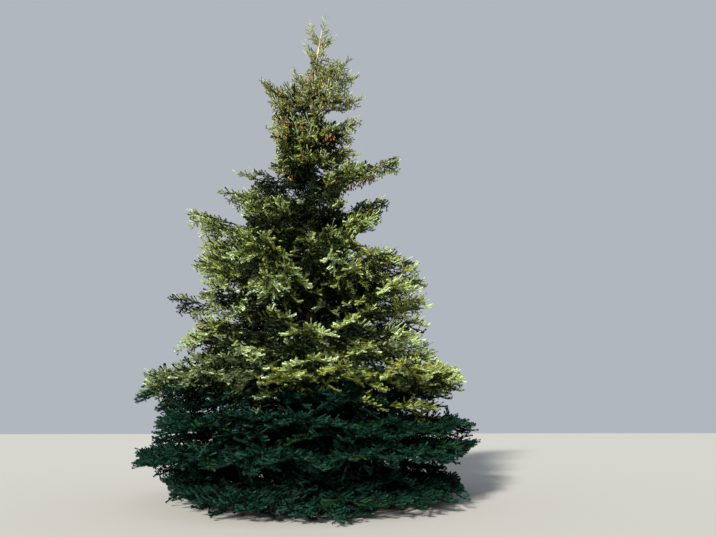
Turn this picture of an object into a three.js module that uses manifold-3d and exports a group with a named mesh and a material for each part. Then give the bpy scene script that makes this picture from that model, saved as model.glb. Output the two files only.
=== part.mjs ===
// White spruce: a whole tree rooted in level ground, from the flat cut under its trunk to its leader shoot.
// Millimetres, +Z up. The origin is the middle of the cut, +X is the photograph's right and -Y its near side.
// The trunk runs up through the crown. Boughs carry the foliage of the lowest tiers, and each mass of
// foliage is one solid: a stem that forks into arms, with toothed sprays of needles and cones fused on.

import * as THREE from 'three';
import { mergeVertices } from 'three/addons/utils/BufferGeometryUtils.js';
import Module from 'manifold-3d';

// Trunk
const STEM_TOP = 13250;
const BREAST_RADIUS = 185;
const STEM_TOP_RADIUS = 13;
const TAPER_POWER = 0.9;
const FLARE_RADIUS = 120;
const FLARE_HEIGHT = 340;
const ROOT_LOBES = 5;
const LOBE_DEPTH = 0.22;
const TRUNK_SIDES = 12;
const TRUNK_STEPS = 16;
const RING_POWER = 1.7;
const TRUNK_SWEEP = [
  [0, 0, 0], [-50, 30, 3500], [-130, 40, 7500], [-195, 20, 10900], [-70, 0, 12500], [30, 0, STEM_TOP],
];

// Tiers of boughs, from the ground up: the height and reach of the tips in the tier's first mass, the
// direction that mass points in (degrees from +X towards +Y), how many masses share the round, and the
// reach of the others as a part of the first. A steep tier's first mass climbs at its own angle.
const TIERS = [
  { tip: 330, reach: 3850, turn: 190, masses: 3, others: 1.0 },
  { tip: 960, reach: 4120, turn: 165, masses: 3, others: 1.0 },
  { tip: 1720, reach: 3850, turn: 205, masses: 3, others: 0.97 },
  { tip: 2680, reach: 4180, turn: 180, masses: 3, others: 0.9 },
  { tip: 3600, reach: 3420, turn: 150, masses: 3, others: 0.97 },
  { tip: 4620, reach: 3420, turn: 188, masses: 3, others: 0.95 },
  { tip: 5540, reach: 3100, turn: 10, masses: 3, others: 1.05 },
  { tip: 6380, reach: 2820, turn: 178, masses: 3, others: 0.84 },
  { tip: 7290, reach: 3450, turn: 182, masses: 3, others: 0.64 },
  { tip: 7900, reach: 2150, turn: 8, masses: 3, others: 1.05, steep: 38 },
  { tip: 8860, reach: 2520, turn: -8, masses: 3, others: 0.62 },
  { tip: 9660, reach: 1720, turn: 180, masses: 3, others: 0.8 },
  { tip: 10520, reach: 1620, turn: 170, masses: 3, others: 0.86 },
  { tip: 11400, reach: 1640, turn: 176, masses: 3, others: 0.74 },
  { tip: 12060, reach: 960, turn: 5, masses: 3, others: 0.64 },
  { tip: 12560, reach: 580, turn: 165, masses: 2, others: 0.85 },
  { tip: 13060, reach: 500, turn: 15, masses: 2, others: 0.7 },
];
const BOUGH_TIERS = 3;
const SLOPE_AT_GROUND = -14;
const SLOPE_AT_TOP = 36;
const SAG = 0.055;
const TIP_SCATTER = 0.05;
const REACH_SCATTER = 0.04;
const TIER_SEED = { first: 7001, step: 97 };
const MASS_SEED = { perTier: 1000, perMass: 37 };

// Limbs: their radius as a part of the reach, and how far out each one runs. An arm's lift is a part of
// the room between its tier and the next.
const LIMB_BASE = 0.0088;
const LIMB_END = 0.003;
const LIMB_LEAST = 4;
const BOUGH_END = 0.28;
const FORK_PAST_BOUGH = 0.06;
const FORK_FROM_TRUNK = 0.2;
const SPRAY_AFTER_FORK = 0.045;
const STEM_INTO_SPRAY = 0.02;
const ARMS = [
  { swing: 0, reach: 1, lift: 0 },
  { swing: 38, reach: 0.94, lift: 0.14 },
  { swing: -38, reach: 0.96, lift: -0.2 },
];
const FAN_POWER = 0.38;
const WIDE_SPACE_ARMS = 1.25;
const BOUGH_SIDES = 5;
const TWIG_SIDES = 3;
const SIDE_ROOT = 0.42;
const SEAT_GAP = 0.4;

// Sprays of needles: toothed blades along the arms, folded down on both sides, and others that hang
// below them. Widths are parts of the reach, drops parts of the room between tiers.
const NECK = 1.5;
const NECK_TO_THICKNESS = 1.8;
const TIP_SHARE = 0.2;
const THINNING = 0.6;
const SWELL = 7;
const SWELL_POWER = 1.4;
const SPRAY_HALF_WIDTH = [0.225, 0.32];
const SPRAY_FOLD = 48;
const FLAT_BELOW = 1600;
const FLATTEST = 0.25;
const NOTCH = 0.34;
const TOOTH_LEAN = 0.4;
const LOW_TEETH = 4;
const HIGH_TEETH = 3;
const LOW_TEETH_TIERS = 5;
const TOP_TEETH = 2;
const TOP_TEETH_TIERS = 15;
const HANGING_PART = [0.5, 0.66];
const HANGING_DROP = [0.55, 0.8];
const HANGING_ROLL = 70;
const HANGING_SWING = 0.35;
const HANGING_NECK = 0.02;
const HANGING_HALF_WIDTH = 0.34;
const HANGING_THICKNESS = 0.05;
const HANGING_TEETH = 2;
const HANGING_FROM_TIER = 10;
const SHORTER_TRIES = [1, 0.82, 0.66, 0.5];

// Leader shoot at the top
const LEADER_TOP = 13800;
const LEADER_LEAN = 20;
const LEADER_RADII = [12, 6];
const LEADER_SPRAYS = 5;
const LEADER_SPRAY_PARTS = [0.1, 0.76];
const LEADER_SPRAY = { length: 260, out: 0.6, up: 0.8, neck: 4, halfWidth: 0.3, thickness: 0.09 };
const LEADER_SHRINK = 0.35;
const TURN_EACH = 137.5;

// Cones hang in the upper third, each standing for a cluster
const CONE_LENGTH = 170;
const CONE_RADIUS = 30;
const CONE_TIERS = [10, 15];
const CONE_PART = [0.5, 0.7];
const CONE_SUNK = 0.92;

// Clearances
const GROUND_CLEAR = 20;
const TRUNK_CLEAR = 45;
const SPACE_MARGIN = 12;
const NEIGHBOUR_CLEAR = 6;
const FUSE_TOLERANCE = 4;

// Colour by tier: shaded below, green in the middle and sunlit above
const SHADE_TIERS = 5;
const GREEN_TIERS = 9;

const SIDE_NAMES = [
  'right', 'back_right', 'back', 'back_left', 'left', 'front_left', 'front', 'front_right',
];

const wasm = await Module();
wasm.setup();
const UP = new THREE.Vector3(0, 0, 1);
const radians = THREE.MathUtils.degToRad;

const bark = new THREE.MeshStandardMaterial({ color: 0x8a8068, roughness: 0.92, metalness: 0 });
const shade = new THREE.MeshStandardMaterial({ color: 0x1e4a3c, roughness: 0.8, metalness: 0 });
const green = new THREE.MeshStandardMaterial({ color: 0x4d6a2c, roughness: 0.75, metalness: 0 });
const sunlit = new THREE.MeshStandardMaterial({ color: 0x8a9a4c, roughness: 0.7, metalness: 0 });

// A repeatable row of numbers from 0 to 1.
function seeded(seed) {
  let state = seed >>> 0;
  return () => {
    state = (Math.imul(state, 1664525) + 1013904223) >>> 0;
    return state / 4294967296;
  };
}

function between(random, low, high) {
  return low + (high - low) * random();
}

// A closed geometry as a solid, and a solid as a geometry.
function solidOf(geometry) {
  const shape = geometry.clone();
  shape.deleteAttribute('normal');
  shape.deleteAttribute('uv');
  const merged = mergeVertices(shape, 1e-3);
  return new wasm.Manifold(new wasm.Mesh({
    numProp: 3,
    vertProperties: merged.attributes.position.array,
    triVerts: new Uint32Array(merged.index.array),
  }));
}

function geometryOf(solid) {
  const mesh = solid.getMesh();
  const geometry = new THREE.BufferGeometry();
  geometry.setAttribute('position', new THREE.BufferAttribute(new Float32Array(mesh.vertProperties), 3));
  geometry.setIndex(new THREE.BufferAttribute(new Uint32Array(mesh.triVerts), 1));
  geometry.computeVertexNormals();
  return geometry;
}

// Moves every vertex of a geometry to where place(vertex) says.
function bent(geometry, place) {
  const position = geometry.attributes.position;
  const vertex = new THREE.Vector3();
  for (let i = 0; i < position.count; i++) {
    vertex.fromBufferAttribute(position, i);
    const { x, y, z } = place(vertex);
    position.setXYZ(i, x, y, z);
  }
  return geometry;
}

const sweep = new THREE.CatmullRomCurve3(TRUNK_SWEEP.map((p) => new THREE.Vector3(...p)));

// The trunk's middle at a height, from the sweep's points.
function trunkAxis(height) {
  let low = 0;
  let high = 1;
  for (let i = 0; i < 24; i++) {
    const middle = (low + high) / 2;
    if (sweep.getPoint(middle).z < height) low = middle;
    else high = middle;
  }
  const point = sweep.getPoint(low);
  return new THREE.Vector3(point.x, point.y, height);
}

function trunkRadius(height) {
  const left = 1 - THREE.MathUtils.clamp(height / STEM_TOP, 0, 1);
  const stem = STEM_TOP_RADIUS + (BREAST_RADIUS - STEM_TOP_RADIUS) * left ** TAPER_POWER;
  return stem + FLARE_RADIUS * Math.exp(-height / FLARE_HEIGHT);
}

// The trunk, tapering from a lobed root flare; extra widens it, to cut limbs clear of it.
function trunkGeometry(extra) {
  const cylinder = new THREE.CylinderGeometry(1, 1, 1, TRUNK_SIDES, TRUNK_STEPS);
  return bent(cylinder, ({ x, y, z }) => {
    const height = STEM_TOP * (y + 0.5) ** RING_POWER;
    const flare = Math.exp(-height / FLARE_HEIGHT);
    const lobes = 1 + LOBE_DEPTH * flare * Math.cos(ROOT_LOBES * Math.atan2(z, x));
    const radius = trunkRadius(height) * lobes + extra;
    return trunkAxis(height).add(new THREE.Vector3(z * radius, x * radius, 0));
  });
}

// A tapering limb along a line from one part of it to another, cut square at both ends.
function limbGeometry({ line, from, to, radius, sides, steps, start = 0 }) {
  const cylinder = new THREE.CylinderGeometry(1, 1, 1, sides, steps);
  return bent(cylinder, ({ x, y, z }) => {
    const part = from + (to - from) * (y + 0.5);
    const middle = line(part);
    const along = line(part + 0.01).sub(line(part - 0.01)).normalize();
    if (y < -0.499) middle.addScaledVector(along, start);
    const side = new THREE.Vector3().crossVectors(along, UP).normalize();
    const over = new THREE.Vector3().crossVectors(side, along);
    return middle.addScaledVector(side, x * radius(part)).addScaledVector(over, z * radius(part));
  });
}

// A spray: a thin blade along a line, toothed on both sides, folded down along its middle and turned
// about its own line by roll. It starts square, with a neck that takes in its twig's end, its teeth lean
// forward, and it narrows to its tip.
function sprayGeometry({ line, from, to, neck, halfWidth, thickness, teeth, roll, fold = SPRAY_FOLD }) {
  const steps = 2 * teeth;
  const cylinder = new THREE.CylinderGeometry(1, 1, 1, 4, steps);
  return bent(cylinder, ({ x, y, z }) => {
    const step = Math.round((y + 0.5) * steps);
    const part = from + (to - from) * step / steps;
    const along = line(part + 0.01).sub(line(part - 0.01)).normalize();
    const side = new THREE.Vector3().crossVectors(along, UP).normalize().applyAxisAngle(along, roll);
    const over = new THREE.Vector3().crossVectors(side, along);
    const t = step / steps;
    const swell = SWELL * (t * (1 - t)) ** SWELL_POWER;
    if (step === 0) return line(part).addScaledVector(side, x * neck).addScaledVector(over, z * neck);
    const edge = step === steps ? TIP_SHARE * neck : halfWidth * swell * (step % 2 ? 1 : NOTCH);
    const out = Math.abs(x) > 0.5 ? Math.sign(x) * edge : 0;
    const rise = z * (step === steps ? TIP_SHARE * neck : 0.5 * thickness * (1 - THINNING * t));
    return line(part)
      .addScaledVector(side, out * Math.cos(radians(fold)))
      .addScaledVector(over, rise - Math.abs(out) * Math.sin(radians(fold)))
      .addScaledVector(along, step % 2 ? TOOTH_LEAN * Math.abs(out) : 0);
  });
}

// The masses of the whole crown, worked out from the tiers.
function massesOf(tiers) {
  return tiers.flatMap((tier, index) => {
    const random = seeded(TIER_SEED.first + TIER_SEED.step * index);
    const slope = SLOPE_AT_GROUND + (SLOPE_AT_TOP - SLOPE_AT_GROUND) * tier.tip / STEM_TOP;
    const above = index + 1 < tiers.length ? tiers[index + 1].tip : STEM_TOP;
    const room = above - tier.tip;
    const fork = index < BOUGH_TIERS ? BOUGH_END + FORK_PAST_BOUGH : FORK_FROM_TRUNK;
    return Array.from({ length: tier.masses }, (_, k) => {
      const first = k === 0;
      const scatter = between(random, 1 - REACH_SCATTER, 1 + REACH_SCATTER);
      const reach = tier.reach * (first ? 1 : tier.others * scatter);
      const climb = Math.tan(radians(first && tier.steep ? tier.steep : slope));
      const tip = tier.tip + (first ? 0 : reach * between(random, -TIP_SCATTER, TIP_SCATTER));
      const azimuth = (tier.turn + 360 + 360 * k / tier.masses) % 360;
      const side = SIDE_NAMES[Math.round(azimuth / 45) % SIDE_NAMES.length];
      const fan = tier.masses < 3 ? WIDE_SPACE_ARMS : 1;
      const sides = first ? Math.min(1, tier.others) : 1;
      const attach = tip - reach * climb;
      const seed = MASS_SEED.perTier * (index + 1) + MASS_SEED.perMass * k;
      return { tier: index + 1, side, sides, azimuth, reach, tip, attach, room, fan, fork, seed,
        halfSpace: 180 / tier.masses };
    });
  });
}

// The line of one arm of a mass, from the trunk (0) to the furthest needle (1). The arms share their
// line up to the fork and then fan out over the mass's own sagging slope.
function armLine(mass, arm) {
  const armReach = mass.reach * arm.reach * (arm.swing ? mass.sides : 1);
  const toTip = mass.tip - mass.attach;
  return (part) => {
    const past = Math.max(0, (part - mass.fork) / (1 - mass.fork));
    const out = Math.min(part, mass.fork) * mass.reach + past * (armReach - mass.fork * mass.reach);
    const share = out / mass.reach;
    const turned = radians(mass.azimuth + arm.swing * mass.fan * past ** FAN_POWER);
    const height = mass.attach + toTip * share - 4 * SAG * out * (1 - share) + arm.lift * mass.room * past;
    return trunkAxis(height).add(new THREE.Vector3(out * Math.cos(turned), out * Math.sin(turned), 0));
  };
}

function limbRadius(mass) {
  return (part) => mass.reach * (LIMB_END + (LIMB_BASE - LIMB_END) * (1 - part)) + LIMB_LEAST;
}

// Whether every point keeps to the mass's own wedge of the crown, off the trunk and off the ground.
function keepsToSpace(mass, points) {
  return points.every((point) => {
    const axis = trunkAxis(point.z);
    const x = point.x - axis.x;
    const y = point.y - axis.y;
    const out = Math.hypot(x, y);
    const turned = Math.atan2(y, x) * 180 / Math.PI - mass.azimuth;
    const away = Math.abs(((turned % 360) + 540) % 360 - 180);
    const edge = out * Math.sin(radians(mass.halfSpace - away));
    return point.z > GROUND_CLEAR && out > trunkRadius(point.z) + TRUNK_CLEAR && away < mass.halfSpace
      && edge > SPACE_MARGIN;
  });
}

function pointsOf(geometry) {
  const position = geometry.attributes.position;
  const vertex = (_, i) => new THREE.Vector3().fromBufferAttribute(position, i);
  return Array.from({ length: position.count }, vertex);
}

function boxesApart(a, b, gap) {
  return [0, 1, 2].some((i) => a.min[i] > b.max[i] + gap || b.min[i] > a.max[i] + gap);
}

// Whether a solid stays clear of every solid made before it.
function clearOf(solid, others) {
  const box = solid.boundingBox();
  return others.every((other) => boxesApart(box, other.box, NEIGHBOUR_CLEAR)
    || solid.minGap(other.solid, NEIGHBOUR_CLEAR) >= NEIGHBOUR_CLEAR);
}

const trunkCut = solidOf(trunkGeometry(SEAT_GAP));

// Joins pieces, cut clear of the trunk; a hollow is filled and a loose scrap dropped by keeping only the
// body that holds the most.
function fused(pieces) {
  const bodies = wasm.Manifold.union(pieces).simplify(FUSE_TOLERANCE).subtract(trunkCut).decompose();
  return bodies.reduce((most, body) => (body.volume() > most.volume() ? body : most));
}

// A bough of the lowest tiers: one tapering limb from the trunk's bark to where the foliage begins.
function boughSolid(mass) {
  const line = armLine(mass, ARMS[0]);
  const radius = limbRadius(mass);
  const limb = { line, from: 0, to: BOUGH_END, radius, sides: BOUGH_SIDES, steps: 3 };
  return fused([solidOf(limbGeometry(limb))]);
}

// The forked stem of a mass. It starts at its bough's tip, or inside the trunk, where it is cut clear. Its
// side arms leave the middle arm at the fork, from a slim root sunk in it.
function stemSolids(mass, onBough) {
  const to = mass.fork + SPRAY_AFTER_FORK + STEM_INTO_SPRAY;
  const radius = limbRadius(mass);
  return ARMS.map((arm) => {
    const line = armLine(mass, arm);
    if (arm.swing === 0) {
      const from = onBough ? BOUGH_END : 0;
      const start = onBough ? SEAT_GAP : 0;
      return solidOf(limbGeometry({ line, from, to, radius, sides: TWIG_SIDES, steps: 3, start }));
    }
    const slimRoot = (part) => radius(part) * (part > mass.fork ? 1 : SIDE_ROOT);
    const side = { line, from: mass.fork, to, radius: slimRoot, sides: TWIG_SIDES, steps: 1 };
    return solidOf(limbGeometry(side));
  });
}

function teethOf(tier) {
  if (tier <= LOW_TEETH_TIERS) return LOW_TEETH;
  return tier < TOP_TEETH_TIERS ? HIGH_TEETH : TOP_TEETH;
}

// A spray along one arm of a mass, from inside its stem to the furthest needle.
function armSpray(mass, arm, shorter) {
  const from = mass.fork + SPRAY_AFTER_FORK;
  const neck = NECK * limbRadius(mass)(from);
  const thickness = NECK_TO_THICKNESS * neck;
  const width = THREE.MathUtils.lerp(...SPRAY_HALF_WIDTH, mass.tip / STEM_TOP) * mass.reach * mass.fan;
  const fold = SPRAY_FOLD * THREE.MathUtils.clamp(mass.tip / FLAT_BELOW, FLATTEST, 1);
  return sprayGeometry({ line: armLine(mass, arm), from, to: 1, neck, thickness, roll: 0, fold,
    halfWidth: width * shorter, teeth: teethOf(mass.tier) });
}

// A spray that hangs from an arm, its tip swinging outward.
function hangingSpray(mass, arm, { part, drop, roll }, shorter) {
  const arms = armLine(mass, arm);
  const root = arms(part);
  const out = arms(part + 0.05).sub(root).setZ(0).normalize();
  const line = (down) => root.clone().addScaledVector(out, HANGING_SWING * down * drop * shorter)
    .addScaledVector(UP, -down * drop * shorter);
  return sprayGeometry({ line, from: 0, to: 1, neck: HANGING_NECK * drop, teeth: HANGING_TEETH, roll,
    halfWidth: HANGING_HALF_WIDTH * drop * shorter, thickness: HANGING_THICKNESS * drop });
}

// The widest form of a spray that keeps to its mass's space and clear of the other solids, if there is one.
function fittedSpray(mass, geometryAt, others) {
  for (const shorter of SHORTER_TRIES) {
    const geometry = geometryAt(shorter);
    if (!keepsToSpace(mass, pointsOf(geometry))) continue;
    const solid = solidOf(geometry);
    if (clearOf(solid, others)) return [{ solid, box: solid.boundingBox() }];
  }
  return [];
}

// A hanging cone, its top sunk in the arm that bears it.
function coneSolid(mass, arm, part) {
  const top = armLine(mass, arm)(part);
  const sphere = new THREE.SphereGeometry(1, 5, 3);
  return solidOf(bent(sphere, ({ x, y, z }) => new THREE.Vector3(
    top.x + x * CONE_RADIUS, top.y - z * CONE_RADIUS, top.z + (y - CONE_SUNK) * CONE_LENGTH / 2)));
}

// A mass of foliage: its forked stem, a spray along each arm, sprays that hang from them, and cones.
function massSolid(mass, stem, others) {
  const random = seeded(mass.seed);
  const alongArm = (arm) => fittedSpray(mass, (shorter) => armSpray(mass, arm, shorter), others);
  const sprays = ARMS.flatMap(alongArm);
  if (mass.tier >= HANGING_FROM_TIER) {
    const part = between(random, ...HANGING_PART);
    const roll = radians(between(random, -HANGING_ROLL, HANGING_ROLL));
    const place = { part, roll, drop: mass.room * between(random, ...HANGING_DROP) };
    const arm = ARMS[Math.floor(random() * ARMS.length)];
    sprays.push(...fittedSpray(mass, (shorter) => hangingSpray(mass, arm, place, shorter), others));
  }
  const cones = [];
  if (mass.tier >= CONE_TIERS[0] && mass.tier <= CONE_TIERS[1]) {
    const cone = coneSolid(mass, ARMS[0], between(random, ...CONE_PART));
    if (clearOf(cone, others)) cones.push(cone);
  }
  return fused([...stem, ...sprays.map(({ solid }) => solid), ...cones]);
}

// The leader: an upright shoot from the trunk's tip with short sprays that point up and out all round.
function leaderSolid() {
  const base = trunkAxis(STEM_TOP);
  const rise = LEADER_TOP - STEM_TOP;
  const line = (part) => base.clone().add(new THREE.Vector3(LEADER_LEAN * part, 0, rise * part));
  const straight = new THREE.CylinderGeometry(LEADER_RADII[1], LEADER_RADII[0], 1, TWIG_SIDES, 1);
  const shoot = bent(straight, ({ x, y, z }) => {
    const middle = line(y + 0.5).add(new THREE.Vector3(z, x, 0));
    return y < 0 ? middle.add(new THREE.Vector3(0, 0, SEAT_GAP)) : middle;
  });
  const pieces = [solidOf(shoot)];
  for (let i = 0; i < LEADER_SPRAYS; i++) {
    const part = THREE.MathUtils.lerp(...LEADER_SPRAY_PARTS, i / (LEADER_SPRAYS - 1));
    const turned = radians(TURN_EACH * i);
    const out = new THREE.Vector3(Math.cos(turned), Math.sin(turned), 0);
    const along = out.multiplyScalar(LEADER_SPRAY.out).addScaledVector(UP, LEADER_SPRAY.up);
    const length = LEADER_SPRAY.length * (1 - LEADER_SHRINK * part);
    const sprayLine = (share) => line(part).addScaledVector(along, share * length);
    const halfWidth = LEADER_SPRAY.halfWidth * length;
    const thickness = LEADER_SPRAY.thickness * length;
    const spray = { line: sprayLine, from: 0, to: 1, neck: LEADER_SPRAY.neck, halfWidth, thickness };
    pieces.push(solidOf(sprayGeometry({ ...spray, teeth: 1, roll: 0 })));
  }
  return fused(pieces);
}

const tree = new THREE.Group();

function addNode(name, geometry, material) {
  const mesh = new THREE.Mesh(geometry, material);
  mesh.name = name;
  tree.add(mesh);
}

const made = [];

function keep(name, solid, material) {
  made.push({ solid, box: solid.boundingBox() });
  addNode(name, geometryOf(solid), material);
}

const masses = massesOf(TIERS);
keep('trunk', solidOf(trunkGeometry(0)), bark);
for (const mass of masses.filter(({ tier }) => tier <= BOUGH_TIERS)) {
  keep(`bough_${mass.tier}_${mass.side}`, boughSolid(mass), bark);
}
// Each mass's sprays keep clear of the boughs, of the masses made before it and of the stems to come.
const stems = masses.map((mass) => stemSolids(mass, mass.tier <= BOUGH_TIERS));
masses.forEach((mass, index) => {
  const toCome = stems.slice(index + 1).flat().map((solid) => ({ solid, box: solid.boundingBox() }));
  const number = String(mass.tier).padStart(2, '0');
  const material = mass.tier <= SHADE_TIERS ? shade : mass.tier <= GREEN_TIERS ? green : sunlit;
  const solid = massSolid(mass, stems[index], [...made.slice(1), ...toCome]);
  keep(`foliage_${number}_${mass.side}`, solid, material);
});
keep('foliage_leader', leaderSolid(), sunlit);

export default tree;
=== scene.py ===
"""White spruce: the whole tree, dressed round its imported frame. Metres, +Z up, the near side at -Y."""

import random
from math import atan2, cos, exp, pi, radians, sin, tan

import bmesh
import bpy
import numpy as np
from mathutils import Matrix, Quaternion, Vector, noise


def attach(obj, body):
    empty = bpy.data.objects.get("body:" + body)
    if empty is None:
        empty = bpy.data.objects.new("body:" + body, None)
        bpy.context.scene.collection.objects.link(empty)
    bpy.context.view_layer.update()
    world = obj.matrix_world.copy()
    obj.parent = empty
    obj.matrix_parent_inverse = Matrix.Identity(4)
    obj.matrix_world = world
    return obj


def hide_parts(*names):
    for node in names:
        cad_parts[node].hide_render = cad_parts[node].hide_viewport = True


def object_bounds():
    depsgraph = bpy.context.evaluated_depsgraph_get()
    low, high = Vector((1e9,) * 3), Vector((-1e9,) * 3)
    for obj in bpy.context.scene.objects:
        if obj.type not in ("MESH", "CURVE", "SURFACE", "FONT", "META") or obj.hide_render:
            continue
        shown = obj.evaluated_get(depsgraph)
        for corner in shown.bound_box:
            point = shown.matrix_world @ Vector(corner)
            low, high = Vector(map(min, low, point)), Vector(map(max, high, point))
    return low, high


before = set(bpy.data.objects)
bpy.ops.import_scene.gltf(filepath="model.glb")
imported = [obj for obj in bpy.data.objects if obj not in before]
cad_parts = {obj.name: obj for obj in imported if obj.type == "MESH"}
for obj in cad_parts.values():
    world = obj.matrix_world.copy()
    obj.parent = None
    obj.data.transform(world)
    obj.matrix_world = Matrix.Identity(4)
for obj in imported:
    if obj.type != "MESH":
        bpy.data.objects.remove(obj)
cad_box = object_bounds()
scene = bpy.context.scene

# The camera stands at the photograph's eye height, straight in front of the tree. It looks up, and a little
# to the right, as the photograph does, so that the tree stands left of the picture's middle.
EYE_HEIGHT = 1.6
EYE_DISTANCE = 12.95
LOOK_UP = 17.06
LOOK_RIGHT = 5.05
LENS = 25.64
VIEW_END = 300

camera_data = bpy.data.cameras.new("camera")
camera_data.lens = LENS
camera_data.clip_end = VIEW_END
camera = bpy.data.objects.new("camera", camera_data)
camera.location = (0, -EYE_DISTANCE, EYE_HEIGHT)
camera.rotation_euler = (radians(90 + LOOK_UP), 0, radians(-LOOK_RIGHT))
scene.collection.objects.link(camera)
scene.camera = camera

# Soft studio light: one broad low sun over the viewer's left shoulder, and a pale room all round.
# A plain pale floor carries the tree and throws a little light up into its skirt.
SUN_STRENGTH = 8.8
SUN_SOFTNESS = 7
SUN_COLOUR = (1.0, 0.955, 0.87)
SUN_TURN = (radians(64), 0, radians(-30))
ROOM_COLOUR = (0.80, 0.86, 0.94, 1)
ROOM_STRENGTH = 0.55
FLOOR_COLOUR = (0.40, 0.40, 0.38)
FLOOR_ROUGHNESS = 0.9
FLOOR_HALF_SIDE = 90

sun_data = bpy.data.lights.new("sun", "SUN")
sun_data.energy = SUN_STRENGTH
sun_data.angle = radians(SUN_SOFTNESS)
sun_data.color = SUN_COLOUR
sun = bpy.data.objects.new("sun", sun_data)
sun.rotation_euler = SUN_TURN
scene.collection.objects.link(sun)

room = bpy.data.worlds.new("room")
room.use_nodes = True
room_light = room.node_tree.nodes["Background"].inputs
room_light["Color"].default_value = ROOM_COLOUR
room_light["Strength"].default_value = ROOM_STRENGTH
scene.world = room
scene.view_settings.view_transform = "Standard"


def plain_material(name, colour, roughness, specular=0.3):
    """A material of one even colour."""
    material = bpy.data.materials.new(name)
    material.use_nodes = True
    shader = material.node_tree.nodes["Principled BSDF"]
    shader.inputs["Base Color"].default_value = (*colour, 1)
    shader.inputs["Roughness"].default_value = roughness
    shader.inputs["Specular IOR Level"].default_value = specular
    return material


floor_bm = bmesh.new()
bmesh.ops.create_grid(floor_bm, x_segments=1, y_segments=1, size=FLOOR_HALF_SIDE)
floor_mesh = bpy.data.meshes.new("floor")
floor_bm.to_mesh(floor_mesh)
floor_bm.free()
floor_mesh.materials.append(plain_material("floor_paint", FLOOR_COLOUR, FLOOR_ROUGHNESS))
floor = bpy.data.objects.new("floor", floor_mesh)
scene.collection.objects.link(floor)

# The trunk: one tapering stem of green wood under thin scaly bark, from its flared foot to the leader.
# Its middle line comes from the rings of its solid, and the bark's plates and furrows are raised on it.
STEM_TOP = 13.25
BREAST_RADIUS = 0.185
STEM_TOP_RADIUS = 0.013
TAPER_POWER = 0.9
FLARE_RADIUS = 0.12
FLARE_HEIGHT = 0.34
ROOT_LOBES = 5
LOBE_DEPTH = 0.22
TRUNK_SIDES = 56
TRUNK_RINGS = 280
RING_POWER = 1.7
FULL_RING = 8
PLATE_SIZE = (0.035, 0.11)
RELIEF = 0.045
PLATE_RISE = 0.9
FURROW_FALL = 1.6
FURROW_MOST = 0.6
FLAKE_RISE = 0.55
FLAKES_IN_PLATE = 2.7
UP = Vector((0, 0, 1))

# The middles of the full rings of corners round the trunk's solid, from the ground up
rings = {}
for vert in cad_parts["trunk"].data.vertices:
    rings.setdefault(round(vert.co.z, 2), set()).add(tuple(round(c, 4) for c in vert.co))
full = sorted(height for height in rings if len(rings[height]) > FULL_RING)
stem_line = np.array([np.mean(list(rings[height]), axis=0) for height in full])


def stem_middle(height):
    x, y = (np.interp(height, stem_line[:, 2], stem_line[:, axis]) for axis in (0, 1))
    return Vector((x, y, height))


def stem_radius(height):
    left = 1 - min(max(height / STEM_TOP, 0), 1)
    taper = STEM_TOP_RADIUS + (BREAST_RADIUS - STEM_TOP_RADIUS) * left**TAPER_POWER
    return taper + FLARE_RADIUS * exp(-height / FLARE_HEIGHT)


def bark_rise(around, along, size):
    """How far the bark stands up at a place on a limb, as a share of the limb's radius."""
    place = Vector((cos(around) * size[0], sin(around) * size[0], along * size[1]))
    furrow = FURROW_FALL * min(noise.voronoi(place)[0][0], FURROW_MOST)
    return RELIEF * (PLATE_RISE - furrow + FLAKE_RISE * noise.noise(place * FLAKES_IN_PLATE))


def upright_tube(sides, rings):
    """A closed tube of rings round the upright axis, from -0.5 to 0.5, to be bent along a limb."""
    tube = bmesh.new()
    bmesh.ops.create_cone(tube, cap_ends=True, segments=sides, radius1=1, radius2=1, depth=1)
    lengthwise = [e for e in tube.edges if abs(e.verts[0].co.z - e.verts[1].co.z) > 0.5]
    bmesh.ops.subdivide_edges(tube, edges=lengthwise, cuts=rings, use_grid_fill=True)
    return tube


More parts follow.
